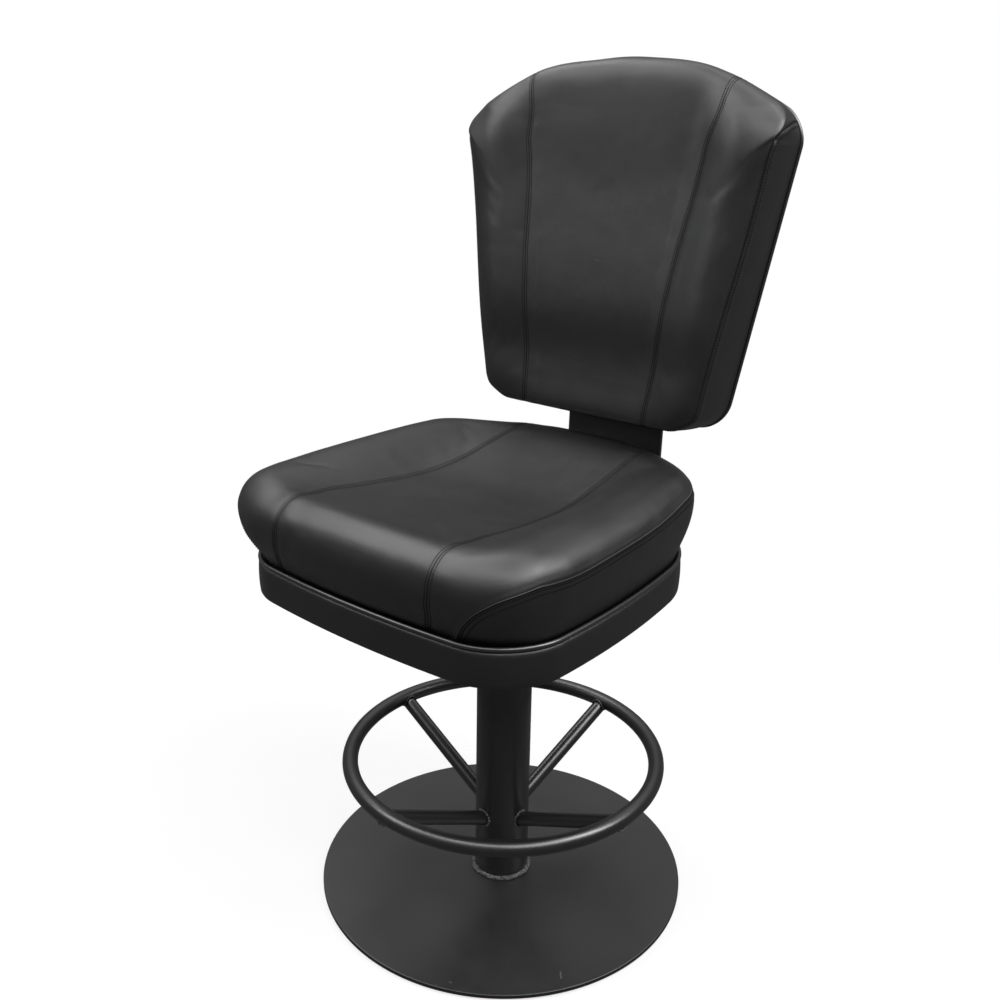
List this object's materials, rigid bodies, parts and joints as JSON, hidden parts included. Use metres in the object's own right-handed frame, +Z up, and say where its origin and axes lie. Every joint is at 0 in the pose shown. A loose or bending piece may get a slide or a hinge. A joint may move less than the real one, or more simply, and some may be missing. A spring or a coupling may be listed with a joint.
{
  "type": "casino stool",
  "caption": "Padded swivel stool with a shaped seat and back, fixed steel column, round base plate and foot ring on spokes.",
  "frame": {"origin": "on the floor, on the axis of the column", "axes": "+Z up along the column, the seat faces -Y, +X to the sitter's left"},
  "size_m": [0.52, 0.5594, 1.1237],
  "materials": {
    "paint": "satin black powder coat",
    "bracket_paint": "satin black powder coat",
    "weld": "rough weld bead, thinly painted",
    "pad": "matt",
    "zinc": "bright zinc plate",
    "bearing": "polished bearing steel",
    "plywood": "raw birch plywood",
    "seat_vinyl": "satin black faux leather with a fine grain",
    "back_vinyl": "satin black faux leather with a fine grain",
    "band_vinyl": "satin black faux leather, stretched smooth",
    "panel_vinyl": "satin black faux leather, stretched smooth",
    "welt": "black piping, slightly glossy"
  },
  "bodies": {
    "pedestal": {"floor_pad": "pad", "base_plate": "paint", "foot_weld": "weld", "column_tube": "paint", "foot_ring": "paint", "foot_spoke_1": "paint", "foot_spoke_2": "paint", "foot_spoke_3": "paint", "foot_spoke_4": "paint", "column_flange": "paint", "swivel_lower_plate": "zinc", "flange_bolt_1": "zinc", "flange_bolt_2": "zinc", "flange_bolt_3": "zinc", "flange_bolt_4": "zinc", "flange_nut_1": "zinc", "flange_nut_2": "zinc", "flange_nut_3": "zinc", "flange_nut_4": "zinc", "king_pin": "zinc", "thrust_washer": "zinc", "king_pin_nut": "zinc"},
    "ball_ring": {"swivel_ball_ring": "bearing"},
    "seat": {"swivel_upper_plate": "zinc", "seat_bolt_1": "zinc", "seat_bolt_2": "zinc", "seat_bolt_3": "zinc", "seat_bolt_4": "zinc", "seat_tee_nut_1": "zinc", "seat_tee_nut_2": "zinc", "seat_tee_nut_3": "zinc", "seat_tee_nut_4": "zinc", "seat_board": "plywood", "seat_band": "band_vinyl", "seat_piping": "welt", "seat_cushion": "seat_vinyl", "back_bracket": "bracket_paint", "back_panel": "panel_vinyl", "back_piping": "welt", "back_board": "plywood", "back_bolt_1": "zinc", "back_bolt_2": "zinc", "back_bolt_3": "zinc", "back_bolt_4": "zinc", "back_tee_nut_1": "zinc", "back_tee_nut_2": "zinc", "back_tee_nut_3": "zinc", "back_tee_nut_4": "zinc", "back_cushion": "back_vinyl"}
  },
  "joints": [
    {"name": "seat_swivel", "type": "hinge", "parent": "pedestal", "child": "seat", "pos_m": [0, 0, 0.4545], "axis": [0, 0, 1], "continuous": true},
    {"name": "ball_ring_turn", "type": "hinge", "parent": "pedestal", "child": "ball_ring", "pos_m": [0, 0, 0.4545], "axis": [0, 0, 1], "continuous": true}
  ],
  "couplings": [
    {"joint": "ball_ring_turn", "follows": "seat_swivel", "ratio": 0.5}
  ]
}
